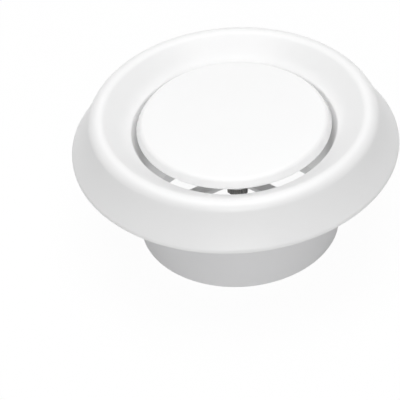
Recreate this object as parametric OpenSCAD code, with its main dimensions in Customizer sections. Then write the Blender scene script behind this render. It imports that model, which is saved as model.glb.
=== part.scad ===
// Ventilation disc valve for a 100 mm duct, set on a wall or a ceiling.
// The origin is on the valve's axis, in the plane of the wall. +Z points into the room.
// The valve ring is held in the mounting ring by a quarter-turn bayonet, and the disc is
// screwed in or out on its spindle to set the air gap.

/* [Valve ring] */
// Width of the skirt, from the crown's circle out to the rim
skirt_w = 14.1; // [11:0.1:17]
// Height of the upright band at the foot of the rim
rim_band = 1.2; // [0.6:0.1:2.4]
// Width of the funnel, from the lip's circle out to the crown's
funnel_w = 13.5; // [12:0.1:16]
// Height of the crown above the wall
crown_h = 20.9; // [19.5:0.1:23]
// Radius of the crown's rounding
crown_round = 5.8; // [5:0.1:6.4]
// Radius of the hollow sweep of the skirt, from the crown to the rim
skirt_sweep = 100; // [80:5:300]
// How far the lip's circle lies outside the throat tube's bore
lip_w = 7.2; // [6.4:0.1:8]
// Height of the middle of the lip's rounding above the wall
lip_h = 9.8; // [8.6:0.1:10.6]
// Radius of the lip's rounding
lip_round = 2.4; // [2:0.1:3]
// Height where the throat's cone meets the throat tube
cone_foot = -2; // [-5:0.5:0]
// Clearance between the throat tube and the spigot
throat_gap = 1.4; // [1.2:0.1:2.6]
// How far the throat tube reaches behind the wall
throat_depth = 39; // [32:1:42]
// Wall thickness of the valve ring
skin = 1.6; // [1.4:0.1:1.8]
// Number of stiffening ribs behind the crown
back_rib_count = 12; // [6:1:18]
// Thickness of a stiffening rib
back_rib_t = 1.4; // [1:0.1:2]
// Width of the foam seal
seal_w = 10.5; // [6:0.5:12]
// Thickness of the foam seal
seal_t = 3; // [2.4:0.1:4]
// Clearance between the foam seal and the back of the skirt
seal_gap = 0.5; // [0.3:0.1:2]

/* [Bridge] */
// Number of arms that carry the hub
arm_count = 3; // [3:1:4]
// Direction of the first arm, from +X
arm_turn = 84; // [0:1:119]
// Width of an arm
arm_w = 6.6; // [5:0.2:8]
// Thickness of an arm
arm_t = 3; // [2.4:0.1:3.6]
// Fall of an arm from the hub to the throat tube, in degrees
arm_fall = 4.6; // [0:0.2:8]
// Depth of the hub's underside behind the wall
hub_depth = 21.7; // [18.5:0.1:22]
// Height of the hub
hub_h = 9.6; // [8:0.1:10]
// Diameter of the hub
hub_d = 16; // [15:0.5:18]

/* [Disc] */
// How far the disc reaches over the throat tube's bore
disc_lap = 2.9; // [1.4:0.1:3]
// Height of the disc's lower edge above the wall, as set
disc_foot = 12.1; // [11:0.1:16]
// Height of the disc's edge
disc_edge_h = 4.3; // [3:0.1:5]
// Rise of the disc's face from its edge to its middle
disc_rise = 1.6; // [0.8:0.1:3]
// Radius of the rounding around the disc's face
disc_round = 2; // [1.8:0.1:2.6]
// Wall thickness of the disc
disc_skin = 1.6; // [1.4:0.1:1.8]
// Number of ribs under the disc
disc_rib_count = 6; // [4:1:12]
// Thickness of a rib under the disc
disc_rib_t = 1.2; // [1:0.1:2]
// Diameter of the boss under the disc
boss_d = 15; // [13:0.5:18]
// Height of the boss's foot above the wall, as set
boss_foot = 6; // [5:0.1:8]

/* [Spindle and nuts] */
// Thread diameter of the spindle
spindle_d = 6; // [5:0.5:6]
// Length of the spindle
spindle_l = 52; // [50:1:54]
// How deep the spindle sits in the boss
spindle_grip = 8; // [6:0.5:8]
// Width across the flats of a nut
nut_af = 10; // [9:0.5:11]
// Height of a nut
nut_h = 5; // [4:0.1:5.2]
// Outer diameter of a washer
washer_d = 12; // [11:0.5:13]
// Thickness of a washer
washer_t = 1.2; // [1:0.1:1.6]
// Turn of the lock nut about the axis, in degrees
lock_nut_turn = 22; // [0:1:59]
// Radial clearance between the spindle and a nut's bore
thread_gap = 0.05; // [0.02:0.01:0.1]
// Radial clearance between the spindle and a washer or the hub
hole_gap = 0.25; // [0.15:0.05:0.4]
// Clearance between pieces that touch
seat_gap = 0.05; // [0.02:0.01:0.1]

/* [Mounting ring] */
// Outer diameter of the spigot that goes into the duct
spigot_d = 98; // [97:0.1:99]
// Length of the spigot behind the wall
spigot_l = 49; // [44:1:60]
// Wall thickness of the spigot
spigot_wall = 1.3; // [1:0.1:1.5]
// Size of the chamfer at the spigot's end
spigot_chamfer = 0.6; // [0.3:0.1:0.9]
// Clearance between the flange and the foam seal
flange_gap = 5.4; // [2:0.1:8]
// Thickness of the flange
flange_t = 1.6; // [1.2:0.1:2]
// Clearance between the mouth of the mounting ring and the back of the throat's cone
mouth_gap = 0.4; // [0.2:0.1:0.6]
// Number of screw holes in the flange
screw_count = 3; // [2:1:6]
// Diameter of a screw hole
screw_hole_d = 4.5; // [3.5:0.1:5]

/* [Bayonet] */
// Number of studs in the mounting ring, and of lugs on the valve ring
stud_count = 3; // [2:1:3]
// Diameter of a stud
stud_d = 5; // [4:0.5:6]
// Depth of a stud's middle behind the wall
stud_depth = 12; // [10:0.5:16]
// Height of a lug
lug_h = 2.4; // [2:0.1:3.2]
// Angle that the stop at a lug's end spans
lug_stop_span = 4; // [2:0.5:6]
// Turn from locked to free, in degrees
bayonet_turn = 30; // [24:1:34]
// Radial clearance of a stud and a lug
bayonet_gap = 0.3; // [0.2:0.05:0.4]

/* [Hidden] */

plastic = [0.95, 0.95, 0.95];
ring_plastic = [0.9, 0.9, 0.9];
foam = [0.8, 0.8, 0.82];
steel = [0.62, 0.63, 0.65];
round_fn = 180;
arc_fn = 96;
sweep_fn = 1440;
dome_fn = 5760;
slack = 1;

spigot_r = spigot_d / 2;
spigot_in_r = spigot_r - spigot_wall;
throat_out_r = spigot_in_r - throat_gap;
throat_r = throat_out_r - skin;
lip_r = throat_r + lip_w;
crown_r = lip_r + funnel_w;
rim_r = crown_r + skirt_w;
lip_c = [lip_r, lip_h];
crown_c = [crown_r, crown_h - crown_round];
cone_p = [throat_r, cone_foot];
rim_p = [rim_r, rim_band];

disc_r = throat_r + disc_lap;
disc_top = disc_foot + disc_edge_h + disc_rise;
dome_r = (disc_r * disc_r + disc_rise * disc_rise) / (2 * disc_rise);
dome_c = [0, disc_top - dome_r];
round_x = disc_r - disc_round;
round_c = [round_x, dome_c[1] + sqrt(pow(dome_r - disc_round, 2) - round_x * round_x)];

spindle_r = spindle_d / 2;
spindle_top = boss_foot + spindle_grip;
nut_r = nut_af / 2 / cos(30);
nut_chamfer = (nut_r - nut_af / 2) / 2;
hub_top = hub_h - hub_depth;
hub_nut_foot = hub_top - nut_h - 2 * seat_gap;
lock_washer_foot = -hub_depth - seat_gap - washer_t;
lock_nut_foot = lock_washer_foot - seat_gap - nut_h;
jam_washer_foot = boss_foot - seat_gap - washer_t;
jam_nut_foot = jam_washer_foot - seat_gap - nut_h;

stud_tip_r = throat_out_r + bayonet_gap;
lug_r = spigot_in_r - bayonet_gap;
stud_half_a = asin(stud_d / 2 / stud_tip_r);
lug_top = -stud_depth - stud_d / 2 - seat_gap * 2;
lug_foot = lug_top - lug_h;
lug_stop_a = stud_half_a + 0.3;
lug_end_a = lug_stop_a + lug_stop_span;
lug_free_a = 1 + stud_half_a - bayonet_turn;

// The point at angle a and distance r from the point c
function polar(c, r, a) = [c[0] + r * cos(a), c[1] + r * sin(a)];

// The angle of the line from the point a to the point b
function angle_to(a, b) = atan2(b[1] - a[1], b[0] - a[0]);

// The angle of a right triangle's corner from its near and long sides
function corner_angle(near, long) = acos(near / long);

// Square to the funnel, which is tangent to the crown's and the lip's roundings
funnel_a = angle_to(crown_c, lip_c) - corner_angle(crown_round - lip_round, norm(lip_c - crown_c));

// Square to the cone, which is tangent to the lip's rounding and ends at the throat tube
cone_a = angle_to(lip_c, cone_p) - corner_angle(lip_round, norm(cone_p - lip_c)) + 360;

// The sweep's circle is tangent to the crown's rounding and passes through the rim
sweep_reach = crown_round + skirt_sweep;
rim_reach = norm(rim_p - crown_c);
sweep_cos = (pow(rim_reach, 2) + pow(sweep_reach, 2) - pow(skirt_sweep, 2)) / (2 * rim_reach * sweep_reach);
sweep_a = angle_to(crown_c, rim_p) + acos(sweep_cos);
sweep_c = polar(crown_c, sweep_reach, sweep_a);

// Radius of the skirt at the height z, t below the outer surface
function skirt_r(t, z) = sweep_c[0] - sqrt(pow(skirt_sweep + t, 2) - pow(sweep_c[1] - z, 2));

// The foam seal lies inside the skirt, and the mounting ring's flange inside the seal
seal_out_r = skirt_r(skin, seal_t) - seal_gap;
seal_in_r = seal_out_r - seal_w;
flange_r = seal_in_r - flange_gap;
screw_circle_r = (spigot_r + flange_r) / 2;

// Half section of all that lies t or more below the valve ring's room side
module under_ring(t, foot) {
  difference() {
    union() {
      translate(crown_c) circle(r = crown_round - t, $fn = arc_fn);
      translate(lip_c) circle(r = lip_round - t, $fn = arc_fn);
      polygon([
        [throat_r + t, foot],
        [throat_r + t, cone_foot - t * tan((180 - cone_a) / 2)],
        polar(lip_c, lip_round - t, cone_a),
        polar(lip_c, lip_round - t, funnel_a),
        polar(crown_c, crown_round - t, funnel_a),
        polar(crown_c, crown_round - t, sweep_a),
        [skirt_r(t, rim_band), rim_band],
        [skirt_r(t, rim_band), foot]
      ]);
    }
    translate(sweep_c) circle(r = skirt_sweep + t, $fn = sweep_fn);
  }
}

// The one wall that makes the rim, the skirt, the crown, the funnel and the throat tube
module ring_wall() {
  rotate_extrude($fn = round_fn) difference() {
    under_ring(0, -throat_depth);
    under_ring(skin, -throat_depth - slack);
    translate([crown_r, -throat_depth - slack]) square([rim_r, throat_depth + slack]);
  }
}

// Ribs in the hollow behind the crown, whose feet carry the foam seal
module back_ribs() {
  for (i = [0 : back_rib_count - 1])
    rotate([90, 0, (i + 0.5) * 360 / back_rib_count])
      translate([0, 0, -back_rib_t / 2])
        linear_extrude(back_rib_t) intersection() {
          under_ring(skin / 2, 0);
          translate([throat_r, seal_t]) square([rim_r, crown_h]);
        }
}

module arms() {
  intersection() {
    translate([0, 0, -throat_depth]) cylinder(h = throat_depth, r = throat_r + skin / 2, $fn = round_fn);
    translate([0, 0, hub_d / 2 * tan(arm_fall) - hub_depth])
      for (i = [0 : arm_count - 1])
        rotate([0, arm_fall, arm_turn + i * 360 / arm_count])
          translate([0, -arm_w / 2, 0]) cube([throat_out_r + arm_t, arm_w, arm_t]);
  }
}

// Lugs that turn under the mounting ring's studs, each with a stop at its end
module bayonet_lugs() {
  middle_a = (lug_free_a + lug_end_a) / 2;
  free_y = lug_r * sin(lug_free_a - middle_a);
  stop_y = lug_r * sin(lug_stop_a - middle_a);
  end_y = lug_r * sin(lug_end_a - middle_a);
  for (i = [0 : stud_count - 1])
    rotate([0, 0, middle_a + i * 360 / stud_count]) intersection() {
      rotate_extrude($fn = round_fn)
        translate([throat_out_r - skin / 2, lug_foot - slack])
          square([lug_r - throat_out_r + skin / 2, lug_h + stud_d + 2 * slack]);
      rotate([90, 0, 90]) linear_extrude(spigot_r) polygon([
        [free_y, lug_foot],
        [end_y, lug_foot],
        [end_y, lug_top + stud_d],
        [stop_y, lug_top + stud_d],
        [stop_y, lug_top],
        [free_y, lug_top]
      ]);
    }
}

module nut_hole(gap, foot, height) {
  translate([0, 0, foot]) cylinder(h = height, r = nut_r + gap, $fn = 6);
}

module valve_ring() {
  color(plastic) difference() {
    union() {
      ring_wall();
      back_ribs();
      arms();
      bayonet_lugs();
      translate([0, 0, -hub_depth]) cylinder(h = hub_h, d = hub_d, $fn = arc_fn);
    }
    nut_hole(seat_gap, hub_nut_foot - seat_gap, hub_h);
    translate([0, 0, -hub_depth - slack])
      cylinder(h = hub_h, r = spindle_r + hole_gap, $fn = arc_fn);
  }
}

module foam_seal() {
  color(foam) rotate_extrude($fn = round_fn)
    translate([seal_in_r, 0]) square([seal_w, seal_t]);
}

// Half section of all that lies t or more below the disc's face
module under_dome(t, foot) {
  intersection() {
    translate(dome_c) circle(r = dome_r - t, $fn = dome_fn);
    polygon([
      [0, foot],
      [0, disc_top + slack],
      polar(dome_c, dome_r + slack, angle_to(dome_c, round_c)),
      round_c,
      [round_x, foot]
    ]);
  }
  translate(round_c) circle(r = disc_round - t, $fn = arc_fn);
  translate([round_x / 2, foot]) square([disc_r - t - round_x / 2, round_c[1] - foot]);
}

module valve_disc() {
  color(plastic) difference() {
    union() {
      rotate_extrude($fn = round_fn) difference() {
        intersection() {
          under_dome(0, disc_foot);
          translate([0, disc_foot]) square([disc_r, disc_top]);
        }
        intersection() {
          under_dome(disc_skin, disc_foot - slack);
          translate([0, disc_foot - slack]) square([disc_r, disc_top]);
        }
      }
      disc_ribs();
      rotate_extrude($fn = arc_fn) intersection() {
        under_dome(disc_skin / 2, boss_foot);
        translate([0, boss_foot]) square([boss_d / 2, disc_top]);
      }
    }
    translate([0, 0, boss_foot - slack])
      cylinder(h = spindle_grip + slack + seat_gap, r = spindle_r + thread_gap / 2, $fn = arc_fn);
  }
}

module disc_ribs() {
  for (i = [0 : disc_rib_count - 1])
    rotate([90, 0, i * 360 / disc_rib_count])
      translate([0, 0, -disc_rib_t / 2])
        linear_extrude(disc_rib_t) intersection() {
          under_dome(disc_skin / 2, disc_foot);
          translate([boss_d / 4, disc_foot + disc_skin / 2]) square([disc_r, disc_top]);
        }
}

module spindle() {
  end_chamfer = spindle_d / 8;
  color(steel) translate([0, 0, spindle_top - spindle_l]) {
    cylinder(h = end_chamfer, r1 = spindle_r - end_chamfer, r2 = spindle_r, $fn = arc_fn);
    translate([0, 0, end_chamfer])
      cylinder(h = spindle_l - end_chamfer, r = spindle_r, $fn = arc_fn);
  }
}

// A hexagon nut with both its faces chamfered, standing on the height foot
module nut(foot, turn) {
  color(steel) translate([0, 0, foot]) rotate([0, 0, turn]) difference() {
    intersection() {
      cylinder(h = nut_h, r = nut_r, $fn = 6);
      rotate_extrude($fn = arc_fn) polygon([
        [0, 0],
        [nut_r - 2 * nut_chamfer, 0],
        [nut_r, nut_chamfer],
        [nut_r, nut_h - nut_chamfer],
        [nut_r - 2 * nut_chamfer, nut_h],
        [0, nut_h]
      ]);
    }
    translate([0, 0, -slack])
      cylinder(h = nut_h + 2 * slack, r = spindle_r + thread_gap, $fn = arc_fn);
  }
}

module washer(foot) {
  color(steel) translate([0, 0, foot]) difference() {
    cylinder(h = washer_t, d = washer_d, $fn = arc_fn);
    translate([0, 0, -slack])
      cylinder(h = washer_t + 2 * slack, r = spindle_r + hole_gap, $fn = arc_fn);
  }
}

module jam_washer() {
  washer(jam_washer_foot);
}

module jam_nut() {
  nut(jam_nut_foot, 0);
}

module hub_nut() {
  nut(hub_nut_foot, 0);
}

module lock_washer() {
  washer(lock_washer_foot);
}

module lock_nut() {
  nut(lock_nut_foot, lock_nut_turn);
}

module mounting_ring() {
  color(ring_plastic) difference() {
    union() {
      rotate_extrude($fn = round_fn) intersection() {
        under_ring(skin + mouth_gap, -spigot_l - slack);
        polygon([
          [spigot_in_r, -spigot_l],
          [spigot_r - spigot_chamfer, -spigot_l],
          [spigot_r, spigot_chamfer - spigot_l],
          [spigot_r, 0],
          [flange_r, 0],
          [flange_r, flange_t],
          [spigot_in_r, flange_t]
        ]);
      }
      for (i = [0 : stud_count - 1])
        rotate([0, 90, i * 360 / stud_count])
          translate([stud_depth, 0, stud_tip_r])
            cylinder(h = spigot_r - spigot_wall / 2 - stud_tip_r, d = stud_d, $fn = arc_fn);
    }
    for (i = [0 : screw_count - 1])
      rotate([0, 0, (i + 0.5) * 360 / screw_count])
        translate([screw_circle_r, 0, -slack])
          cylinder(h = flange_t + 2 * slack, d = screw_hole_d, $fn = arc_fn);
  }
}

mounting_ring();
valve_ring();
foam_seal();
valve_disc();
spindle();
jam_washer();
jam_nut();
hub_nut();
lock_washer();
lock_nut();
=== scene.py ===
"""Ventilation disc valve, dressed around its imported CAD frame.

Every piece is made in metres in the frame of the CAD: the valve's axis is Z, the wall is the
plane z = 0, and +Z points into the room.
"""

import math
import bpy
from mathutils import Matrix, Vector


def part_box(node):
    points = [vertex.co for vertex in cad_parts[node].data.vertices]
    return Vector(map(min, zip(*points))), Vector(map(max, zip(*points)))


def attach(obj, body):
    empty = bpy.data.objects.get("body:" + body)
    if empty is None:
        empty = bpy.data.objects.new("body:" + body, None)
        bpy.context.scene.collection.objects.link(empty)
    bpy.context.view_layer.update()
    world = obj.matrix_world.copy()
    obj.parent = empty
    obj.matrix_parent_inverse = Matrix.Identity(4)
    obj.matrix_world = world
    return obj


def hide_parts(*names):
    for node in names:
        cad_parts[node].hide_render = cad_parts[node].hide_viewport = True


bl_info = {
    "name": "Ventilation Disc Valve",
    "version": (1, 0, 0),
    "blender": (4, 5, 0),
    "location": "3D View > Sidebar > Disc Valve",
    "description": "Makes a round disc valve with its mounting ring, foam seal, spindle and nuts",
    "category": "Object",
}

import bmesh
import bpy
from bpy.props import FloatProperty, FloatVectorProperty, IntProperty, PointerProperty
from mathutils import Matrix, Vector

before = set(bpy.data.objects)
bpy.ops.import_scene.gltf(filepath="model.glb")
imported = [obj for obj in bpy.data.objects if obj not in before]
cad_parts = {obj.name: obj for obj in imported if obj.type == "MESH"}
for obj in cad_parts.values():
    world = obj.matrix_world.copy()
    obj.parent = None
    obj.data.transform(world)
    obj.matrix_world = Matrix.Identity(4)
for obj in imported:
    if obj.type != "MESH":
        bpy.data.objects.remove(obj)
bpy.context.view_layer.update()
MM = 0.001
FULL_TURN = 2 * math.pi
EDGE_STEPS = 4
FINISH_TAG = "_finish"
PICTURE_WIDTH = 400
SENSOR_WIDTH = 36.0


def high(node):
    """The highest corner of a CAD node."""
    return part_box(node)[1]


def low(node):
    """The lowest corner of a CAD node."""
    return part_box(node)[0]


def length(name, default, description):
    """A size in metres that a user may change."""
    return FloatProperty(name=name, description=description, default=default, min=0.0,
                         precision=5, unit="LENGTH", subtype="DISTANCE")


def angle(name, degrees, description):
    """An angle that a user may change."""
    return FloatProperty(name=name, description=description, default=math.radians(degrees),
                         unit="ROTATION", subtype="ANGLE")


def count(name, default, description):
    """A number of like features."""
    return IntProperty(name=name, description=description, default=default, min=1)


def share(name, default, description):
    """A value from 0 to 1, such as a roughness."""
    return FloatProperty(name=name, description=description, default=default, min=0.0, max=1.0,
                         subtype="FACTOR")


def power(name, default, description):
    """The power of a lamp in watts."""
    return FloatProperty(name=name, description=description, default=default, min=0.0,
                         unit="POWER")


def colour(name, default, description):
    """A colour that a user may change."""
    return FloatVectorProperty(name=name, description=description, default=default, size=3,
                               min=0.0, max=1.0, subtype="COLOR")


# Sizes and colours

class RingSizes(bpy.types.PropertyGroup):
    """Sizes of the valve ring, the one moulding of rim, crown, funnel, throat tube and bridge."""
    rim_radius: length("Rim radius", high("valve_ring").x, "Outer radius of the rim")
    rim_band: length("Rim band", 1.2 * MM, "Height of the upright band at the rim's foot")
    skirt_width: length("Skirt width", 14.1 * MM, "From the crown's circle out to the rim")
    skirt_sweep: length("Skirt sweep", 100 * MM, "Radius of the skirt's hollow sweep")
    crown_height: length("Crown height", high("valve_ring").z, "Height of the crown")
    crown_round: length("Crown rounding", 5.8 * MM, "Radius of the crown's rounding")
    funnel_width: length("Funnel width", 13.5 * MM, "From the lip's circle out to the crown's")
    lip_width: length("Lip width", 7.2 * MM, "From the throat's bore out to the lip's circle")
    lip_height: length("Lip height", 9.8 * MM, "Height of the middle of the lip's rounding")
    lip_round: length("Lip rounding", 2.4 * MM, "Radius of the lip's rounding")
    cone_depth: length("Cone depth", 2 * MM, "Depth at which the throat's cone meets the tube")
    throat_depth: length("Throat depth", -low("valve_ring").z, "Depth of the throat tube")
    wall: length("Wall", 1.6 * MM, "Wall thickness of the moulding")
    edge_round: length("Edge rounding", 0.35 * MM, "Radius of the wall's free edges")
    segments: count("Segments", 240, "Facets around the turned wall")
    rib_count: count("Ribs", 12, "Stiffening ribs behind the crown")
    rib_thickness: length("Rib thickness", 1.4 * MM, "Thickness of a stiffening rib")
    foam_width: length("Foam width", 10.5 * MM, "Width of the foam seal behind the rim")


class BridgeSizes(bpy.types.PropertyGroup):
    """Sizes of the three-armed bridge and its hub."""
    arm_count: count("Arms", 3, "Arms from the throat tube to the hub")
    arm_turn: angle("First arm", 84, "Direction of the first arm from +X")
    arm_fall: angle("Arm fall", 4.6, "Fall of an arm from the hub to the throat tube")
    arm_width: length("Arm width", 6.6 * MM, "Width of an arm")
    arm_height: length("Arm height", 3 * MM, "Thickness of an arm")
    arm_round: length("Arm rounding", 0.5 * MM, "Radius of an arm's edges")
    hub_radius: length("Hub radius", 8 * MM, "Outer radius of the hub")
    hub_depth: length("Hub depth", -high("lock_washer").z - 0.05 * MM,
                      "Depth of the hub's underside, on which the lock washer seats")
    hub_height: length("Hub height", 9.6 * MM, "Height of the hub")
    bore_gap: length("Bore clearance", 0.25 * MM, "Radial clearance of the spindle in the hub")
    pocket_gap: length("Pocket clearance", 0.05 * MM, "Clearance of the nut in its pocket")


class DiscSizes(bpy.types.PropertyGroup):
    """Sizes of the disc that closes the throat."""
    radius: length("Radius", high("valve_disc").x, "Outer radius of the disc")
    top: length("Top", high("valve_disc").z, "Height of the middle of the disc's face")
    edge_height: length("Edge height", 4.3 * MM, "Height of the disc's edge")
    rise: length("Rise", 1.6 * MM, "Rise of the face from the edge to the middle")
    edge_taper: length("Edge taper", 2.3 * MM, "How far the disc's edge leans in at its top")
    face_round: length("Face rounding", 2.6 * MM, "Radius of the rounding around the face")
    wall: length("Wall", 1.6 * MM, "Wall thickness of the disc")
    boss_radius: length("Boss radius", 7.5 * MM, "Radius of the boss under the disc")
    boss_foot: length("Boss foot", low("valve_disc").z, "Height of the boss's foot")
    boss_fillet: length("Boss fillet", 1.5 * MM, "Radius of the fillet at the boss's root")
    rib_count: count("Ribs", 6, "Ribs under the disc")
    rib_thickness: length("Rib thickness", 1.2 * MM, "Thickness of a rib")


class HardwareSizes(bpy.types.PropertyGroup):
    """Sizes of the threaded spindle, the nuts and the washers."""
    spindle_radius: length("Spindle radius", high("spindle").x, "Outer radius of the thread")
    pitch: length("Pitch", 1 * MM, "Pitch of the thread")
    thread_depth: length("Thread depth", 0.54 * MM, "Depth of the thread")
    flats: length("Nut flats", 10 * MM, "Width of a nut across its flats")
    nut_bore_gap: length("Nut bore", 0.05 * MM, "Radial clearance of the spindle in a nut")
    nut_chamfer: length("Nut chamfer", 0.39 * MM, "Height of a nut's chamfer")
    washer_bore_gap: length("Washer bore", 0.25 * MM, "Radial clearance in a washer")
    lock_nut_turn: angle("Lock nut turn", 22, "Turn of the lock nut about the axis")


class MountingSizes(bpy.types.PropertyGroup):
    """Sizes of the mounting ring that sits in the duct."""
    spigot_radius: length("Spigot radius", 49 * MM, "Outer radius of the spigot")
    spigot_wall: length("Spigot wall", 1.3 * MM, "Wall thickness of the spigot")
    spigot_chamfer: length("Spigot chamfer", 0.6 * MM, "Chamfer at the spigot's end")
    flange_radius: length("Flange radius", high("mounting_ring").x, "Outer radius of the flange")
    mouth_gap: length("Mouth clearance", 0.4 * MM, "Clearance to the back of the throat's cone")
    screw_count: count("Screw holes", 3, "Screw holes in the flange")
    screw_hole: length("Screw hole", 4.5 * MM, "Diameter of a screw hole")
    stud_count: count("Studs", 3, "Bayonet studs, and the lugs that turn under them")
    stud_radius: length("Stud radius", 2.5 * MM, "Radius of a stud")
    stud_depth: length("Stud depth", 12 * MM, "Depth of a stud's middle")
    lug_height: length("Lug height", 2.4 * MM, "Height of a lug")
    lug_gap: length("Lug clearance", 0.3 * MM, "Radial clearance of a stud and a lug")
    lug_reach: angle("Lug reach", 30, "Turn of the bayonet from locked to free")


class Finishes(bpy.types.PropertyGroup):
    """Colours and finishes of the valve."""
    plastic: colour("White plastic", (0.9, 0.9, 0.9), "Colour of the valve ring and the disc")
    plastic_roughness: share("Plastic roughness", 0.34, "Roughness of the white plastic")
    ring_plastic: colour("Ring plastic", (0.84, 0.84, 0.845), "Colour of the mounting ring")
    ring_roughness: share("Ring roughness", 0.58, "Roughness of the mounting ring")
    foam: colour("Foam", (0.74, 0.74, 0.76), "Colour of the foam seal")
    # The steel's colour is kept dark as painted shade, for the shade that falls on the nuts under the
    # disc.
    steel: colour("Zinc steel", (0.11, 0.112, 0.118), "Colour of the zinc-plated steel")
    steel_roughness: share("Steel roughness", 0.3, "Roughness of the zinc-plated steel")


class StageSettings(bpy.types.PropertyGroup):
    """The floor, the lamps and the camera."""
    floor: colour("Floor", (0.5, 0.5, 0.5), "Colour of the floor")
    floor_white: share("Floor white", 0.91, "How much of the floor the camera sees as plain white")
    floor_glow: share("Floor glow", 0.52, "Light that the floor gives off from below, as a lit table")
    sky: share("Sky", 0.0, "Strength of the even light from all around")
    distance: length("Camera distance", 1.454, "From the camera to the middle of the rim")
    elevation: angle("Camera elevation", 39.4, "Height of the camera above the wall plane")
    roll: angle("Camera roll", 3.7, "Roll of the camera, clockwise")
    lens: FloatProperty(name="Lens", description="Focal length of the camera", default=269.1,
                        unit="CAMERA")
    rim_right: FloatProperty(name="Rim right", default=35.3,
                             description="Picture points from the picture's middle to the rim's")
    rim_up: FloatProperty(name="Rim up", default=54.5,
                          description="Picture points from the picture's middle up to the rim's")
    top_power: power("Top lamp", 13.3, "Power of the large lamp overhead")
    back_power: power("Back lamp", 3.5, "Power of the lamp above and behind")
    front_power: power("Front lamp", 7.2, "Power of the lamp above and in front")


# Outlines: half sections in the plane of radius and height

def polar(centre, radius, turn):
    """The point at a distance and a direction from a centre."""
    return (centre[0] + radius * math.cos(turn), centre[1] + radius * math.sin(turn))


def arc(centre, radius, start, end, steps):
    """Points along an arc, both ends included."""
    return [polar(centre, radius, start + (end - start) * i / steps) for i in range(steps + 1)]


def heading(start, end):
    """The direction of the line from one point to another."""
    return math.atan2(end[1] - start[1], end[0] - start[0])


def rounded(points):
    """An outline with the corners rounded that are given as (x, y, radius)."""
    line = []
    for i, point in enumerate(points):
        if len(point) == 2:
            line.append(point)
            continue
        corner = Vector(point[:2])
        to_last = (Vector(points[i - 1][:2]) - corner).normalized()
        to_next = (Vector(points[(i + 1) % len(points)][:2]) - corner).normalized()
        half = to_last.angle(to_next) / 2
        centre = corner + (to_last + to_next).normalized() * point[2] / math.sin(half)
        reach = point[2] / math.tan(half)
        start = heading(centre, corner + to_last * reach)
        end = heading(centre, corner + to_next * reach)
        turn = (end - start + math.pi) % FULL_TURN - math.pi
        line += arc(centre, point[2], start, start + turn, EDGE_STEPS)
    return line


def rounded_bar(low_x, high_x, foot, top, edge):
    """An upright oblong with rounded corners."""
    return rounded([(low_x, foot, edge), (high_x, foot, edge), (high_x, top, edge),
                    (low_x, top, edge)])


class RingSection:
    """The centres and directions that the valve ring's half section is drawn from."""

    def __init__(self, ring):
        self.ring = ring
        crown_radius = ring.rim_radius - ring.skirt_width
        lip_radius = crown_radius - ring.funnel_width
        self.throat = lip_radius - ring.lip_width
        self.crown = (crown_radius, ring.crown_height - ring.crown_round)
        self.lip = (lip_radius, ring.lip_height)
        cone = (self.throat, -ring.cone_depth)
        rim = (ring.rim_radius, ring.rim_band)
        step = ring.crown_round - ring.lip_round
        self.funnel_turn = heading(self.lip, self.crown) + math.pi - math.acos(
            step / math.dist(self.lip, self.crown))
        self.cone_turn = heading(self.lip, cone) + FULL_TURN - math.acos(
            ring.lip_round / math.dist(self.lip, cone))
        reach = ring.crown_round + ring.skirt_sweep
        span = math.dist(rim, self.crown)
        bend = (span ** 2 + reach ** 2 - ring.skirt_sweep ** 2) / (2 * span * reach)
        self.sweep_turn = heading(self.crown, rim) + math.acos(bend)
        self.sweep = polar(self.crown, reach, self.sweep_turn)

    def skirt(self, depth, height):
        """Radius of the skirt at a height, at a depth below its outer surface."""
        drop = (self.ring.skirt_sweep + depth) ** 2 - (self.sweep[1] - height) ** 2
        return self.sweep[0] - math.sqrt(drop)

    def cone(self, depth, height):
        """Radius of the throat's cone at a height, at a depth below its surface."""
        start = -self.ring.cone_depth - depth * math.tan((math.pi - self.cone_turn) / 2)
        return self.throat + depth - (height - start) * math.tan(self.cone_turn)

    def line(self, depth, foot_height, steps=1.0):
        """The surface from the cone's foot over lip and crown to a height on the skirt."""
        ring = self.ring
        start = -ring.cone_depth - depth * math.tan((math.pi - self.cone_turn) / 2)
        foot_turn = math.pi + math.asin((self.sweep[1] - foot_height) / (ring.skirt_sweep + depth))
        points = [(self.throat + depth, start)]
        points += arc(self.lip, ring.lip_round - depth, self.cone_turn, self.funnel_turn,
                      int(12 * steps))
        points += arc(self.crown, ring.crown_round - depth, self.funnel_turn, self.sweep_turn,
                      int(36 * steps))
        points += arc(self.sweep, ring.skirt_sweep + depth, self.sweep_turn + math.pi, foot_turn,
                      int(16 * steps))
        return points


def ring_outline(ring):
    """The closed half section of the valve ring's wall."""
    section = RingSection(ring)
    edge = ring.edge_round
    outer = section.line(0, ring.rim_band)
    inner = section.line(ring.wall, ring.rim_band, 0.6)
    rim_inner = section.skirt(ring.wall, ring.rim_band)
    return rounded(
        [(section.throat, -ring.throat_depth, edge)]
        + outer
        + [(ring.rim_radius, 0, edge), (rim_inner, 0, edge)]
        + inner[::-1]
        + [(section.throat + ring.wall, -ring.throat_depth, edge)])


def disc_foot(disc):
    """Height of the disc's lower edge."""
    return disc.top - disc.rise - disc.edge_height


def disc_line(disc, depth, foot):
    """The disc's surface from the axis over its face and leaning edge down to a height."""
    shoulder = disc.radius - disc.edge_taper
    lean = math.atan2(disc.edge_taper, disc.edge_height)
    dome = (shoulder ** 2 + disc.rise ** 2) / (2 * disc.rise)
    middle = (0, disc.top - dome)
    reach = disc.radius - disc.face_round / math.cos(lean)
    for _ in range(8):
        height = middle[1] + math.sqrt((dome - disc.face_round) ** 2 - reach ** 2)
        edge = disc.radius - (height - disc_foot(disc)) * math.tan(lean)
        reach = edge - disc.face_round / math.cos(lean)
    centre = (reach, height)
    turn = heading(middle, centre)
    face = arc(middle, dome - depth, math.pi / 2, turn, 24)
    face[0] = (0, disc.top - depth)
    rounding = arc(centre, disc.face_round - depth, turn, lean, 10)
    drop = (rounding[-1][1] - foot) * math.tan(lean)
    return face + rounding[1:] + [(rounding[-1][0] + drop, foot)]


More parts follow.
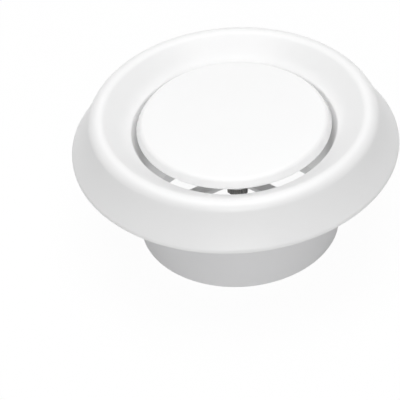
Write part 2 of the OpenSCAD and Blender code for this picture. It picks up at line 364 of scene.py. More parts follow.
def disc_outline(disc, hardware):
    """The half section of the disc, from the middle of its face round to the spindle's hole."""
    edge = 0.4 * MM
    hole = hardware.spindle_radius + hardware.nut_bore_gap / 2
    hole_top = high("spindle").z + 0.05 * MM
    foot = disc_foot(disc)
    outer = disc_line(disc, 0, foot)
    inner = disc_line(disc, disc.wall, foot)
    root = [p for p in inner if p[0] > disc.boss_radius + disc.boss_fillet]
    under = root[0][1] + (root[0][0] - disc.boss_radius) * 0.02
    return rounded(
        outer[:-1]
        + [(*outer[-1], edge), (*inner[-1], edge)]
        + root[-2::-1]
        + [(disc.boss_radius, under, disc.boss_fillet)]
        + [(disc.boss_radius, disc.boss_foot, edge), (hole, disc.boss_foot, edge)]
        + [(hole, hole_top), (0, hole_top)])


def mounting_outline(mounting, ring):
    """The closed half section of the mounting ring."""
    section = RingSection(ring)
    edge = 0.35 * MM
    end = low("mounting_ring").z
    face = high("mounting_ring").z
    inner = mounting.spigot_radius - mounting.spigot_wall
    depth = ring.wall + mounting.mouth_gap
    mouth = section.cone(depth, face)
    mouth_foot = face - (mouth - inner) / math.tan(math.pi - section.cone_turn)
    return rounded([
        (inner, end, edge),
        (mounting.spigot_radius - mounting.spigot_chamfer, end),
        (mounting.spigot_radius, end + mounting.spigot_chamfer),
        (mounting.spigot_radius, 0),
        (mounting.flange_radius, 0, edge),
        (mounting.flange_radius, face, edge),
        (mouth, face, edge / 2),
        (inner, mouth_foot),
    ])


# Meshes

def mesh_object(name, vertices, faces, edges=()):
    """A new object at the origin with a mesh of the given vertices."""
    mesh = bpy.data.meshes.new(name)
    mesh.from_pydata([tuple(v) for v in vertices], list(edges), faces)
    mesh.update()
    piece = bpy.data.objects.new(name, mesh)
    bpy.context.scene.collection.objects.link(piece)
    return piece


def loft(name, rings, closed=False):
    """A solid through rings of equally many points: capped, or joined to a closed tube."""
    size = len(rings[0])
    vertices = [v for ring in rings for v in ring]
    faces = []
    last = len(rings) if closed else len(rings) - 1
    for i in range(last):
        a = i * size
        b = (i + 1) % len(rings) * size
        for k in range(size):
            n = (k + 1) % size
            faces.append((a + k, a + n, b + n, b + k))
    if not closed:
        faces.append(tuple(range(size))[::-1])
        faces.append(tuple(range(len(vertices) - size, len(vertices))))
    return mesh_object(name, vertices, faces)


def clean(piece, crease=35):
    """Merges doubles, turns the faces outwards and shades all but the sharp edges smooth."""
    bm = bmesh.new()
    bm.from_mesh(piece.data)
    bmesh.ops.remove_doubles(bm, verts=bm.verts, dist=1e-6)
    bmesh.ops.dissolve_degenerate(bm, edges=bm.edges, dist=1e-7)
    bmesh.ops.recalc_face_normals(bm, faces=bm.faces)
    for face in bm.faces:
        face.smooth = True
    bm.to_mesh(piece.data)
    bm.free()
    piece.data.set_sharp_from_angle(angle=math.radians(crease))
    return piece


def join(name, pieces):
    """One object from several, with the first one's materials."""
    bm = bmesh.new()
    for piece in pieces:
        bm.from_mesh(piece.data)
    mesh = bpy.data.meshes.new(name)
    bm.to_mesh(mesh)
    bm.free()
    mesh.materials.append(pieces[0].data.materials[0])
    for piece in pieces:
        bpy.data.objects.remove(piece)
    joined = bpy.data.objects.new(name, mesh)
    bpy.context.scene.collection.objects.link(joined)
    return joined


def circle_points(radius, height, steps):
    """Points of a level circle about the axis."""
    return [(radius * math.cos(FULL_TURN * i / steps), radius * math.sin(FULL_TURN * i / steps),
             height) for i in range(steps)]


def hexagon_radius(flats, turn, cap):
    """Distance from the middle of a hexagon with rounded corners to its edge."""
    sector = (turn + math.pi / 6) % (math.pi / 3) - math.pi / 6
    return min(flats / 2 / math.cos(math.pi / 6 - abs(sector)), cap)


def hexagon_points(flats, height, steps, cap=1.0, turn=0.0):
    """Points of a level hexagon about the axis, with a corner on +X before its turn."""
    points = []
    for i in range(steps):
        a = FULL_TURN * i / steps
        r = hexagon_radius(flats, a, cap)
        points.append((r * math.cos(a + turn), r * math.sin(a + turn), height))
    return points


def arc_block(name, start, end, radii, heights, steps=10):
    """A block bent round the axis between two directions."""
    rings = []
    for i in range(steps + 1):
        a = start + (end - start) * i / steps
        corners = [(radii[0], heights[0]), (radii[1], heights[0]),
                   (radii[1], heights[1]), (radii[0], heights[1])]
        rings.append([(r * math.cos(a), r * math.sin(a), z) for r, z in corners])
    return loft(name, rings)


def plate(name, outline, thickness):
    """An upright plate from an outline of radius and height, standing on the XZ plane."""
    return loft(name, [[(r, y, z) for r, z in outline] for y in (-thickness / 2, thickness / 2)])


# Geometry Nodes

class NodeTree:
    """A tree that is built node by node."""

    def __init__(self, tree):
        self.tree = tree

    def node(self, kind, links=None, **settings):
        """The outputs of a new node, with its settings and with its inputs linked or set."""
        node = self.tree.nodes.new(kind)
        for key, value in settings.items():
            setattr(node, key, value)
        for key, value in (links or {}).items():
            if isinstance(value, bpy.types.NodeSocket):
                self.tree.links.new(value, node.inputs[key])
            else:
                node.inputs[key].default_value = value
        return node.outputs

    def math(self, operation, *values, clamp=False):
        """The result of an operation on two or three values."""
        return self.node("ShaderNodeMath", dict(enumerate(values)), operation=operation,
                         use_clamp=clamp)[0]

    def seen_directly(self):
        """1 for rays from the camera, and for those that gloss or glass sends on."""
        path = self.node("ShaderNodeLightPath")
        seen = path["Is Camera Ray"]
        for ray in ("Is Glossy Ray", "Is Transmission Ray"):
            seen = self.math("MAXIMUM", seen, path[ray])
        return seen


class ShapeTree(NodeTree):
    """A Geometry Nodes tree with named inputs."""

    def __init__(self, name, **inputs):
        super().__init__(bpy.data.node_groups.new(name, "GeometryNodeTree"))
        face = self.tree.interface
        face.new_socket("Geometry", in_out="INPUT", socket_type="NodeSocketGeometry")
        for label, kind in inputs.items():
            face.new_socket(label.replace("_", " "), in_out="INPUT",
                            socket_type="NodeSocket" + kind)
        face.new_socket("Geometry", in_out="OUTPUT", socket_type="NodeSocketGeometry")
        self.source = self.node("NodeGroupInput")

    def finish(self, geometry):
        """Realizes the instances, sets the material and ends the tree."""
        real = self.node("GeometryNodeRealizeInstances", {0: geometry})
        painted = self.node("GeometryNodeSetMaterial",
                            {0: real[0], "Material": self.source["Material"]})
        self.node("NodeGroupOutput", {0: painted[0]})
        return self.tree


def turned_tree():
    """Turns a profile about the axis. A profile point at (x, -z) lands at Radius + x and z."""
    tree = ShapeTree("Turned wall", Radius="Float", Segments="Int", Material="Material")
    source = tree.source
    profile = tree.node("GeometryNodeMeshToCurve", {0: source["Geometry"]})
    path = tree.node("GeometryNodeCurvePrimitiveCircle",
                     {"Resolution": source["Segments"], "Radius": source["Radius"]})
    wall = tree.node("GeometryNodeCurveToMesh", {"Curve": path[0], "Profile Curve": profile[0]})
    merged = tree.node("GeometryNodeMergeByDistance", {0: wall[0], "Distance": 1e-6})
    return tree.finish(merged[0])


def around(tree, instance):
    """Copies of a geometry, evenly turned about the axis."""
    source = tree.source
    points = tree.node("GeometryNodePoints", {"Count": source["Count"]})
    index = tree.node("GeometryNodeInputIndex")
    step = tree.math("DIVIDE", FULL_TURN, source["Count"])
    turn = tree.math("MULTIPLY_ADD", index[0], step, source["First Angle"])
    euler = tree.node("ShaderNodeCombineXYZ", {"Z": turn})
    rotation = tree.node("FunctionNodeEulerToRotation", {0: euler[0]})
    copies = tree.node("GeometryNodeInstanceOnPoints",
                       {"Points": points[0], "Instance": instance, "Rotation": rotation[0]})
    return tree.node("GeometryNodeRealizeInstances", {0: copies[0]})[0]


def pattern_tree():
    """Repeats a piece around the axis."""
    tree = ShapeTree("Round pattern", Count="Int", First_Angle="Float", Material="Material")
    return tree.finish(around(tree, tree.source["Geometry"]))


def holes_tree():
    """Cuts round holes along a circle about the axis."""
    tree = ShapeTree("Round holes", Count="Int", First_Angle="Float", Circle_Radius="Float",
                     Hole_Radius="Float", Depth="Float", Material="Material")
    source = tree.source
    drill = tree.node("GeometryNodeMeshCylinder", {"Vertices": 48, "Radius": source["Hole Radius"],
                                                   "Depth": source["Depth"]})
    reach = tree.node("ShaderNodeCombineXYZ", {"X": source["Circle Radius"]})
    placed = tree.node("GeometryNodeTransform", {0: drill[0], "Translation": reach[0]})
    cut = tree.node("GeometryNodeMeshBoolean", {0: source["Geometry"], 1: around(tree, placed[0])},
                    operation="DIFFERENCE", solver="EXACT")
    return tree.finish(cut[0])


def thread_tree():
    """Winds a ridge of the given profile up the axis, and lets it run out at both ends."""
    tree = ShapeTree("Screw thread", Radius="Float", Pitch="Float", Turns="Float", Foot="Float",
                     Steps="Int", Material="Material")
    source = tree.source
    profile = tree.node("GeometryNodeMeshToCurve", {0: source["Geometry"]})
    helix = tree.node("GeometryNodeCurveSpiral",
                      {"Resolution": source["Steps"], "Rotations": source["Turns"],
                       "Start Radius": source["Radius"], "End Radius": source["Radius"],
                       "Height": tree.math("MULTIPLY", source["Pitch"], source["Turns"])})
    place = tree.node("ShaderNodeCombineXYZ", {"Z": source["Foot"]})
    path = tree.node("GeometryNodeSetPosition", {0: helix[0], "Offset": place[0]})
    along = tree.node("GeometryNodeSplineParameter")["Factor"]
    turns_in = tree.math("MULTIPLY", along, source["Turns"], clamp=True)
    turns_left = tree.math("SUBTRACT", 1.0, along)
    turns_out = tree.math("MULTIPLY", turns_left, source["Turns"], clamp=True)
    upright = tree.node("GeometryNodeSetCurveNormal", {0: path[0]}, mode="Z_UP")
    ridge = tree.node("GeometryNodeCurveToMesh",
                      {"Curve": upright[0], "Profile Curve": profile[0],
                       "Scale": tree.math("MINIMUM", turns_in, turns_out), "Fill Caps": True})
    return tree.finish(ridge[0])


def run_tree(piece, tree, **values):
    """Runs a tree on a piece and keeps the result as the piece's plain mesh."""
    modifier = piece.modifiers.new(tree.name, "NODES")
    modifier.node_group = tree
    for socket in tree.interface.items_tree:
        key = socket.name.replace(" ", "_").lower()
        if socket.in_out == "INPUT" and key in values:
            modifier[socket.identifier] = values[key]
    graph = bpy.context.evaluated_depsgraph_get()
    mesh = bpy.data.meshes.new_from_object(piece.evaluated_get(graph), depsgraph=graph)
    mesh.name = piece.name
    piece.modifiers.remove(modifier)
    piece.data = mesh
    return piece


def turned(name, outline, material, segments, closed=True):
    """A solid turned about the axis from its half section."""
    reach = max(p[0] for p in outline)
    points = [(r - reach, -z, 0) for r, z in outline]
    edges = [(i, i + 1) for i in range(len(points) - 1)]
    if closed:
        edges.append((len(points) - 1, 0))
    piece = mesh_object(name, points, [], edges)
    run_tree(piece, turned_tree(), radius=reach, segments=segments, material=material)
    return clean(piece)


def patterned(piece, copies, first, material):
    """Copies of a piece around the axis, as one mesh."""
    clean(piece)
    run_tree(piece, pattern_tree(), count=copies, first_angle=first, material=material)
    return clean(piece)


# Finishes

class Finish(NodeTree):
    """A material that is built around one Principled shader."""

    def __init__(self, slot, roughness, metallic=0.0):
        self.material = bpy.data.materials.new(slot + FINISH_TAG)
        self.material.use_nodes = True
        super().__init__(self.material.node_tree)
        self.shader = self.tree.nodes["Principled BSDF"]
        self.shader.inputs["Roughness"].default_value = roughness
        self.shader.inputs["Metallic"].default_value = metallic
        self.place = self.node("ShaderNodeTexCoord")["Object"]

    def stretched(self, x, y, z):
        """Object coordinates, stretched along the axes."""
        return self.node("ShaderNodeMapping", {"Vector": self.place, "Scale": (x, y, z)})[0]

    def noise(self, scale, detail=3.0, roughness=0.5, place=None):
        """A noise of so many waves in a metre."""
        return self.node("ShaderNodeTexNoise",
                         {"Vector": place or self.place, "Scale": scale, "Detail": detail,
                          "Roughness": roughness})["Fac"]

    def cells(self, scale):
        """Round cells, so many in a metre, as the distance to their middles."""
        return self.node("ShaderNodeTexVoronoi", {"Vector": self.place, "Scale": scale})["Distance"]

    def span(self, value, low_value, high_value, start=0.3, end=0.7):
        """A value spread over a new range."""
        return self.node("ShaderNodeMapRange",
                         {"Value": value, "From Min": start, "From Max": end,
                          "To Min": low_value, "To Max": high_value})["Result"]

    def colour(self, value, first, second):
        """The base colour, which goes from one colour to another with a value."""
        mix = self.node("ShaderNodeMix", {"Factor": value, "A": (*first, 1), "B": (*second, 1)},
                        data_type="RGBA")
        self.tree.links.new(mix["Result"], self.shader.inputs["Base Color"])

    def roughness(self, value):
        """The roughness, from a value."""
        self.tree.links.new(value, self.shader.inputs["Roughness"])

    def bumps(self, *layers):
        """Bumps from layers of (value, height in metres, strength)."""
        below = {}
        for value, height, strength in layers:
            bump = self.node("ShaderNodeBump",
                             {"Height": value, "Distance": height, "Strength": strength, **below})
            below = {"Normal": bump["Normal"]}
        self.tree.links.new(below["Normal"], self.shader.inputs["Normal"])


def shade(tone, factor):
    """A colour made lighter or darker."""
    return tuple(min(c * factor, 1) for c in tone)


def white_plastic(finishes):
    """Smooth white moulding: a soft gloss, with faint waves and a faint drift of tone."""
    finish = Finish("white_plastic", finishes.plastic_roughness)
    tone = finishes.plastic
    finish.colour(finish.noise(38, 2), shade(tone, 0.992), shade(tone, 1.006))
    rough = finishes.plastic_roughness
    finish.roughness(finish.span(finish.noise(260, 4), rough - 0.03, rough + 0.04))
    finish.bumps((finish.noise(90, 1), 0.00006, 0.25), (finish.noise(2600, 3), 0.000004, 0.35))
    return finish.material


def satin_plastic(finishes):
    """White moulding with a satin, spark-eroded surface."""
    finish = Finish("ring_plastic", finishes.ring_roughness)
    finish.shader.inputs["Specular IOR Level"].default_value = 0.2
    tone = finishes.ring_plastic
    finish.colour(finish.noise(45, 2), shade(tone, 0.985), shade(tone, 1.01))
    rough = finishes.ring_roughness
    finish.roughness(finish.span(finish.noise(420, 4), rough - 0.05, rough + 0.05))
    finish.bumps((finish.noise(120, 1), 0.00005, 0.2), (finish.noise(3800, 4, 0.7), 0.00001, 0.4))
    return finish.material


def closed_foam(finishes):
    """Closed-cell foam: fine cells with thin skins, duller in their hollows."""
    finish = Finish("foam", 0.92)
    tone = finishes.foam
    cells = finish.cells(1500)
    finish.colour(finish.span(cells, 0, 1, 0.1, 0.6), shade(tone, 1.03), shade(tone, 0.86))
    finish.bumps((cells, 0.00018, 0.6), (finish.noise(4200, 3), 0.00003, 0.4))
    finish.shader.inputs["Sheen Weight"].default_value = 0.15
    return finish.material


def zinc_steel(finishes):
    """Zinc-plated steel whose colour is darkened as painted shade, for the shade on the nuts under
    the disc, with a bluish to yellowish tint and light and dark lines along the drawn bar that are
    partly drawing lines and partly painted highlights.
    """
    finish = Finish("zinc_steel", finishes.steel_roughness, 1.0)
    # This tone is painted shade: the steel is made dark to stand for the shade under the disc.
    tone = finishes.steel
    warm = (tone[0] * 1.08, tone[1] * 1.04, tone[2] * 0.92)
    # Light and dark stripes along the bar: partly the bar's drawing lines, partly painted highlights
    # that stand for glints on the nuts' faces.
    drawn_lines_and_painted_glints = finish.noise(620, 3, 0.6, finish.stretched(1, 1, 0.1))
    finish.colour(finish.span(drawn_lines_and_painted_glints, 0, 1, 0.35, 0.65), shade(tone, 0.55), shade(warm, 1.5))
    rough = finishes.steel_roughness
    finish.roughness(finish.span(finish.noise(900, 5, 0.6), rough - 0.08, rough + 0.12))
    drawn = finish.noise(700, 2, 0.5, finish.stretched(1, 1, 0.08))
    finish.bumps((drawn, 0.00012, 0.5), (finish.noise(3000, 3), 0.000008, 0.3))
    return finish.material


FINISHES = {"white_plastic": white_plastic, "ring_plastic": satin_plastic,
            "foam": closed_foam, "zinc_steel": zinc_steel}


def finish_of(context, slot):
    """The material of a slot, made when it is first asked for."""
    made = bpy.data.materials.get(slot + FINISH_TAG)
    return made or FINISHES[slot](context.scene.valve_finishes)


def settle(piece, body, node, slot):
    """Ties a finished piece to its CAD body, node and material slot."""
    piece.data.materials.clear()
    piece.data.materials.append(bpy.data.materials[slot + FINISH_TAG])
    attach(piece, body)
    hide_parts(node)


# Pieces

class VALVE_OT_make_ring(bpy.types.Operator):
    """Makes the valve ring's turned wall and the ribs behind its crown"""
    bl_idname = "valve.make_ring"
    bl_label = "Valve ring"

    def execute(self, context):
        ring = context.scene.valve_ring
        plastic = finish_of(context, "white_plastic")
        wall = turned("ring_wall", ring_outline(ring), plastic, ring.segments)
        settle(wall, "ring", "valve_ring", "white_plastic")
        section = RingSection(ring)
        foot = high("foam_seal").z
        inside = [p for p in section.line(ring.wall / 2, foot, 0.4) if p[1] > foot]
        outline = [(section.cone(ring.wall / 2, foot), foot)] + inside
        outline.append((section.skirt(ring.wall / 2, foot), foot))
        ribs = plate("ring_ribs", outline, ring.rib_thickness)
        half_step = math.pi / ring.rib_count
        patterned(ribs, ring.rib_count, half_step, plastic)
        settle(ribs, "ring", "valve_ring", "white_plastic")
        return {"FINISHED"}


class VALVE_OT_make_bridge(bpy.types.Operator):
    """Makes the bridge: three arms and the hub with its pocket for a nut"""
    bl_idname = "valve.make_bridge"
    bl_label = "Bridge"

    def execute(self, context):
        plastic = finish_of(context, "white_plastic")
        arms = self.arms(context, plastic)
        hub = self.hub(context, plastic)
        bridge = join("ring_bridge", [arms, hub])
        clean(bridge)
        settle(bridge, "ring", "valve_ring", "white_plastic")
        return {"FINISHED"}

    def arms(self, context, plastic):
        """Arms with rounded edges that fall from the hub to the throat tube."""
        bridge = context.scene.valve_bridge
        ring = context.scene.valve_ring
        reach = RingSection(ring).throat + ring.wall / 2
        fall = math.tan(bridge.arm_fall)
        base = bridge.hub_radius * fall - bridge.hub_depth
        half = bridge.arm_width / 2
        height = bridge.arm_height / math.cos(bridge.arm_fall)
        section = rounded_bar(-half, half, 0, height, bridge.arm_round)
        start = bridge.hub_radius / 2
        rings = []
        for i in range(9):
            x = start + (reach - start) * i / 8
            rings.append([(x, y, base + z - x * fall) for y, z in section])
        return patterned(loft("bridge_arms", rings), bridge.arm_count, bridge.arm_turn, plastic)

    def hub(self, context, plastic):
        """The hub: a round post with a bore and a hexagon pocket in its top."""
        bridge = context.scene.valve_bridge
        hardware = context.scene.valve_hardware
        steps = 96
        foot = -bridge.hub_depth
        top = foot + bridge.hub_height
        pocket = low("hub_nut").z - bridge.pocket_gap
        flats = hardware.flats + 2 * bridge.pocket_gap * math.cos(math.pi / 6)
        bore = hardware.spindle_radius + bridge.bore_gap
        edge = 0.4 * MM
        outer = bridge.hub_radius
        rings = [
            circle_points(bore, foot + edge, steps),
            circle_points(bore + edge, foot, steps),
            circle_points(outer - edge, foot, steps),
            circle_points(outer - edge * 0.3, foot + edge * 0.3, steps),
            circle_points(outer, foot + edge, steps),
            circle_points(outer, top - edge, steps),
            circle_points(outer - edge * 0.3, top - edge * 0.3, steps),
            circle_points(outer - edge, top, steps),
            hexagon_points(flats + edge, top, steps),
            hexagon_points(flats, top - edge / 2, steps),
            hexagon_points(flats, pocket, steps),
            circle_points(bore, pocket, steps),
        ]
        hub = loft("bridge_hub", rings, closed=True)
        hub.data.materials.append(plastic)
        return clean(hub)


class VALVE_OT_make_lugs(bpy.types.Operator):
    """Makes the lugs of the bayonet, each with a stop at its end"""
    bl_idname = "valve.make_lugs"
    bl_label = "Bayonet lugs"

    def execute(self, context):
        mounting = context.scene.valve_mounting
        ring = context.scene.valve_ring
        plastic = finish_of(context, "white_plastic")
        tube = RingSection(ring).throat + ring.wall
        reach = mounting.spigot_radius - mounting.spigot_wall - mounting.lug_gap
        stud = math.asin(mounting.stud_radius / (tube + mounting.lug_gap))
        top = -mounting.stud_depth - mounting.stud_radius - 0.1 * MM
        foot = top - mounting.lug_height
        stop = stud + math.radians(0.3)
        end = stop + math.radians(4)
        free = stud + math.radians(1) - mounting.lug_reach
        radii = (tube - ring.wall / 2, reach)
        tread = arc_block("lug_tread", free, (stop + end) / 2, radii, (foot, top))
        rest = arc_block("lug_rest", stop, end, radii, (foot, top + 2 * mounting.stud_radius), 4)
        for part in (tread, rest):
            part.data.materials.append(plastic)
        lugs = patterned(join("ring_lugs", [tread, rest]), mounting.stud_count, 0, plastic)
        settle(lugs, "ring", "valve_ring", "white_plastic")
        return {"FINISHED"}


class VALVE_OT_make_foam(bpy.types.Operator):
    """Makes the foam seal behind the rim"""
    bl_idname = "valve.make_foam"
    bl_label = "Foam seal"

    def execute(self, context):
        ring = context.scene.valve_ring
        material = finish_of(context, "foam")
        size = high("foam_seal")
        outline = rounded_bar(size.x - ring.foam_width, size.x, 0, size.z, 0.5 * MM)
        foam = turned("foam_ring", outline, material, ring.segments)
        settle(foam, "ring", "foam_seal", "foam")
        return {"FINISHED"}


class VALVE_OT_make_disc(bpy.types.Operator):
    """Makes the disc with its boss and ribs"""
    bl_idname = "valve.make_disc"
    bl_label = "Disc"

    def execute(self, context):
        disc = context.scene.valve_disc
        plastic = finish_of(context, "white_plastic")
        outline = disc_outline(disc, context.scene.valve_hardware)
        face = turned("disc_face", outline, plastic, 200, closed=False)
        settle(face, "disc", "valve_disc", "white_plastic")
        foot = disc_foot(disc) + disc.wall / 2
        start = disc.boss_radius / 2
        under = [p for p in disc_line(disc, disc.wall / 2, foot) if p[0] > start]
        ribs = plate("disc_ribs", [(start, foot), (start, under[0][1])] + under,
                     disc.rib_thickness)
        patterned(ribs, disc.rib_count, 0, plastic)
        settle(ribs, "disc", "valve_disc", "white_plastic")
        return {"FINISHED"}


class VALVE_OT_make_spindle(bpy.types.Operator):
    """Makes the spindle with its thread"""
    bl_idname = "valve.make_spindle"
    bl_label = "Spindle"

    def execute(self, context):
        hardware = context.scene.valve_hardware
        steel = finish_of(context, "zinc_steel")
        foot = low("spindle").z
        top = high("spindle").z
        outer = hardware.spindle_radius
        core = outer - hardware.thread_depth
        chamfer = 0.5 * MM
        outline = [(0, top), (core - chamfer / 2, top), (core, top - chamfer), (core, foot + chamfer),
                   (core - chamfer, foot), (0, foot)]
        shank = turned("spindle_shank", outline, steel, 48, closed=False)
        root = hardware.pitch * 0.46
        crest = hardware.pitch * 0.07
        sink = 0.12 * MM
        profile = [(-sink, root), (0, root), (hardware.thread_depth, crest),
                   (hardware.thread_depth, -crest), (0, -root), (-sink, -root)]
        edges = [(i, (i + 1) % len(profile)) for i in range(len(profile))]
        thread = mesh_object("spindle_thread", [(x, y, 0) for x, y in profile], [], edges)
        turns = (top - foot - 1.2 * MM) / hardware.pitch
        run_tree(thread, thread_tree(), radius=core, pitch=hardware.pitch, turns=turns,
                 foot=foot + 0.6 * MM, steps=32, material=steel)
        clean(thread, 25)
        spindle = join("spindle_rod", [shank, thread])
        clean(spindle, 25)
        settle(spindle, "disc", "spindle", "zinc_steel")
        return {"FINISHED"}


class VALVE_OT_make_nuts(bpy.types.Operator):
    """Makes the three nuts and the two washers"""
    bl_idname = "valve.make_nuts"
    bl_label = "Nuts and washers"

    def execute(self, context):
        hardware = context.scene.valve_hardware
        finish_of(context, "zinc_steel")
        for name, body, turn in (("jam_nut", "disc", 0.0), ("hub_nut", "ring", 0.0),
                                 ("lock_nut", "lock", hardware.lock_nut_turn)):
            settle(self.nut(name, hardware, turn), body, name, "zinc_steel")
        for name, body in (("jam_washer", "disc_carrier"), ("lock_washer", "lock_carrier")):
            settle(self.washer(name, hardware), body, name, "zinc_steel")
        return {"FINISHED"}

    def nut(self, name, hardware, turn):
        """A hexagon nut, chamfered on both faces and at both ends of its bore."""
        steps = 96
        foot = low(name).z
        top = high(name).z
        bore = hardware.spindle_radius + hardware.nut_bore_gap
        flats = hardware.flats
        corner = flats / 2 / math.cos(math.pi / 6)
        mouth = 0.35 * MM
        slope = (corner - flats / 2) / hardware.nut_chamfer
        levels = [hardware.nut_chamfer * i / 8 for i in range(9)]
        cap = corner * 0.985
        caps = [(min(flats / 2 + slope * depth, cap), depth) for depth in levels]
        rings = [circle_points(bore, foot + mouth, steps)]
        rings.append(circle_points(bore + mouth, foot, steps))
        rings += [hexagon_points(flats, foot + depth, steps, r, turn) for r, depth in caps]
        rings += [hexagon_points(flats, top - depth, steps, r, turn) for r, depth in caps[::-1]]
        rings.append(circle_points(bore + mouth, top, steps))
        rings.append(circle_points(bore, top - mouth, steps))
        return clean(loft(name + "_hex", rings, closed=True), 30)

    def washer(self, name, hardware):
        """A stamped washer with rounded edges."""
        bore = hardware.spindle_radius + hardware.washer_bore_gap
        outline = rounded_bar(bore, high(name).x, low(name).z, high(name).z, 0.2 * MM)
        return turned(name + "_ring", outline, bpy.data.materials["zinc_steel" + FINISH_TAG], 96)


class VALVE_OT_make_mounting(bpy.types.Operator):
    """Makes the mounting ring with its screw holes and studs"""
    bl_idname = "valve.make_mounting"
    bl_label = "Mounting ring"

    def execute(self, context):
        mounting = context.scene.valve_mounting
        ring = context.scene.valve_ring
        plastic = finish_of(context, "ring_plastic")
        body = turned("mounting_spigot", mounting_outline(mounting, ring), plastic, ring.segments)
        circle = (mounting.spigot_radius + mounting.flange_radius) / 2
        run_tree(body, holes_tree(), count=mounting.screw_count,
                 first_angle=math.pi / mounting.screw_count, circle_radius=circle,
                 hole_radius=mounting.screw_hole / 2, depth=10 * MM, material=plastic)
        clean(body)
        settle(body, "mount", "mounting_ring", "ring_plastic")
        tube = RingSection(ring).throat + ring.wall
        tip = tube + mounting.lug_gap
        base = mounting.spigot_radius - mounting.spigot_wall / 2
        edge = 0.4 * MM
        steps = 48
        rings = []
        for x, radius in ((tip, mounting.stud_radius - edge),
                          (tip + edge * 0.3, mounting.stud_radius - edge * 0.3),
                          (tip + edge, mounting.stud_radius), (base, mounting.stud_radius)):
            rings.append([(x, y, z - mounting.stud_depth)
                          for y, z, _ in circle_points(radius, 0, steps)])
        studs = patterned(loft("mounting_studs", rings), mounting.stud_count, 0, plastic)
        settle(studs, "mount", "mounting_ring", "ring_plastic")
        return {"FINISHED"}


# Stage

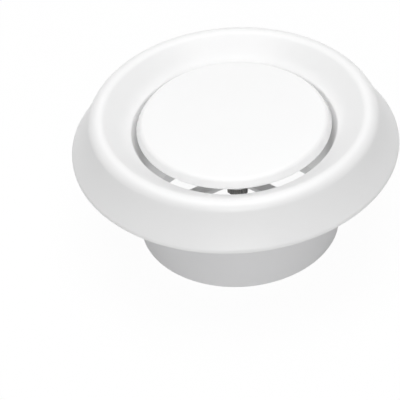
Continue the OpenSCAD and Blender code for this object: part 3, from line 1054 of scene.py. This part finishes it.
class VALVE_OT_make_stage(bpy.types.Operator):
    """Makes the pale floor, the soft studio light and the camera"""
    bl_idname = "valve.make_stage"
    bl_label = "Stage"

    def execute(self, context):
        stage = context.scene.valve_stage
        self.floor(stage)
        self.sky(context, stage)
        self.lamp("top_lamp", (0.0, 0.05, 1.3), 1.1, stage.top_power)
        self.lamp("back_lamp", (0.0, 0.9, 1.0), 0.9, stage.back_power)
        self.lamp("front_lamp", (0.0, -1.1, 0.9), 0.9, stage.front_power)
        self.camera(context, stage)
        context.scene.view_settings.view_transform = "Standard"
        return {"FINISHED"}

    def floor(self, stage):
        """A plain floor, near white with a faint shadow from above and clear from below."""
        edge = 4.0
        height = low("mounting_ring").z
        corners = [(-edge, -edge, height), (edge, -edge, height), (edge, edge, height),
                   (-edge, edge, height)]
        floor = mesh_object("floor", corners, [(0, 1, 2, 3)])
        material = bpy.data.materials.new("floor")
        material.use_nodes = True
        material.node_tree.nodes.clear()
        tree = NodeTree(material.node_tree)
        paint = tree.node("ShaderNodeBsdfDiffuse", {"Color": (*stage.floor, 1)})
        glow = tree.node("ShaderNodeEmission", {"Strength": stage.floor_glow})
        lit = tree.node("ShaderNodeAddShader", {0: paint[0], 1: glow[0]})
        white = tree.node("ShaderNodeEmission", {"Strength": 1.0})
        part = tree.math("MULTIPLY", tree.seen_directly(), stage.floor_white)
        above = tree.node("ShaderNodeMixShader", {0: part, 1: lit[0], 2: white[0]})
        below = tree.node("ShaderNodeBsdfTransparent")
        from_below = tree.node("ShaderNodeNewGeometry")["Backfacing"]
        surface = tree.node("ShaderNodeMixShader", {0: from_below, 1: above[0], 2: below[0]})
        tree.node("ShaderNodeOutputMaterial", {"Surface": surface[0]})
        floor.data.materials.append(material)

    def sky(self, context, stage):
        """An even light from all around, which is white where it is seen."""
        world = bpy.data.worlds.new("studio")
        world.use_nodes = True
        backdrop = world.node_tree.nodes["Background"]
        backdrop.inputs["Color"].default_value = (1, 1, 1, 1)
        tree = NodeTree(world.node_tree)
        strength = tree.node("ShaderNodeMapRange", {"Value": tree.seen_directly(),
                                                    "To Min": stage.sky, "To Max": 1.0})
        world.node_tree.links.new(strength["Result"], backdrop.inputs["Strength"])
        context.scene.world = world

    def lamp(self, name, place, size, watts):
        """A square soft lamp that points at the middle of the rim."""
        data = bpy.data.lights.new(name, "AREA")
        data.shape = "SQUARE"
        data.size = size
        data.energy = watts
        lamp = bpy.data.objects.new(name, data)
        lamp.location = place
        lamp.rotation_euler = (-Vector(place)).to_track_quat("-Z", "Y").to_euler()
        bpy.context.scene.collection.objects.link(lamp)

    def camera(self, context, stage):
        """The camera, with the rim's middle above and right of the picture's middle."""
        data = bpy.data.cameras.new("camera")
        data.lens = stage.lens
        data.sensor_width = SENSOR_WIDTH
        camera = bpy.data.objects.new("camera", data)
        rise = math.sin(stage.elevation)
        back = math.cos(stage.elevation)
        camera.location = (0, -stage.distance * back, stage.distance * rise)
        facing = Vector((0, back, -rise)).to_track_quat("-Z", "Y")
        rolled = facing.to_matrix() @ Matrix.Rotation(-stage.roll, 3, "Z")
        focal = stage.lens / SENSOR_WIDTH * PICTURE_WIDTH
        middle = Vector((stage.rim_right, stage.rim_up, -focal)).normalized()
        aim = middle.rotation_difference(Vector((0, 0, -1))).to_matrix()
        camera.rotation_euler = (rolled @ aim).to_euler()
        context.scene.collection.objects.link(camera)
        context.scene.camera = camera


OPERATORS = (VALVE_OT_make_ring, VALVE_OT_make_bridge, VALVE_OT_make_lugs, VALVE_OT_make_foam,
             VALVE_OT_make_disc, VALVE_OT_make_spindle, VALVE_OT_make_nuts,
             VALVE_OT_make_mounting, VALVE_OT_make_stage)

GROUPS = {"valve_ring": RingSizes, "valve_bridge": BridgeSizes, "valve_disc": DiscSizes,
          "valve_hardware": HardwareSizes, "valve_mounting": MountingSizes,
          "valve_finishes": Finishes, "valve_stage": StageSettings}


class VALVE_PT_panel(bpy.types.Panel):
    """Lists the valve's pieces, sizes and finishes"""
    bl_idname = "VALVE_PT_panel"
    bl_label = "Disc Valve"
    bl_space_type = "VIEW_3D"
    bl_region_type = "UI"
    bl_category = "Disc Valve"

    def draw(self, context):
        layout = self.layout
        for operator in OPERATORS:
            layout.operator(operator.bl_idname)
        for name, group in GROUPS.items():
            box = layout.box()
            settings = getattr(context.scene, name)
            for key in group.__annotations__:
                box.prop(settings, key)


CLASSES = (*GROUPS.values(), *OPERATORS, VALVE_PT_panel)


def register():
    for cls in CLASSES:
        bpy.utils.register_class(cls)
    for name, group in GROUPS.items():
        setattr(bpy.types.Scene, name, PointerProperty(type=group))


def unregister():
    for name in GROUPS:
        delattr(bpy.types.Scene, name)
    for cls in reversed(CLASSES):
        bpy.utils.unregister_class(cls)


def main():
    """Registers the add-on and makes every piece."""
    register()
    bpy.ops.valve.make_ring()
    bpy.ops.valve.make_bridge()
    bpy.ops.valve.make_lugs()
    bpy.ops.valve.make_foam()
    bpy.ops.valve.make_disc()
    bpy.ops.valve.make_spindle()
    bpy.ops.valve.make_nuts()
    bpy.ops.valve.make_mounting()
    bpy.ops.valve.make_stage()


if __name__ == "__main__":
    main()
